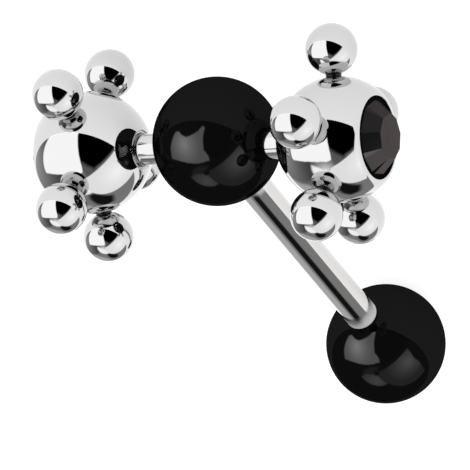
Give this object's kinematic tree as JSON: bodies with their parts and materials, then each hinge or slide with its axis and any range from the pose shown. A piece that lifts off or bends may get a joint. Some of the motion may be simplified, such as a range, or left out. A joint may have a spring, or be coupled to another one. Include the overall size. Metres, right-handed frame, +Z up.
{
  "type": "tongue barbell",
  "caption": "Tongue barbell with black end balls and a cross bar through the upper one, ending in steel balls ringed by small soldered balls and set with dark gems.",
  "frame": {"origin": "on the surface that the piece lies on, under the middle of its outline", "axes": "+Z up from that surface, +Y along the rod from the lower ball towards the upper ball, +X across, towards the right end of the cross bar"},
  "size_m": [0.0182, 0.028, 0.0104],
  "materials": {
    "black_ball": "glossy black",
    "rod_steel": "polished steel",
    "bar_steel": "polished steel",
    "ball_steel": "mirror polished steel",
    "dark_gem": "dark smoky faceted glass"
  },
  "bodies": {
    "root": {"upper_ball": "black_ball", "lower_ball": "black_ball", "rod": "rod_steel", "cross_bar": "bar_steel", "left_cluster": "ball_steel", "right_cluster": "ball_steel", "left_gem": "dark_gem", "right_gem": "dark_gem"}
  },
  "joints": []
}
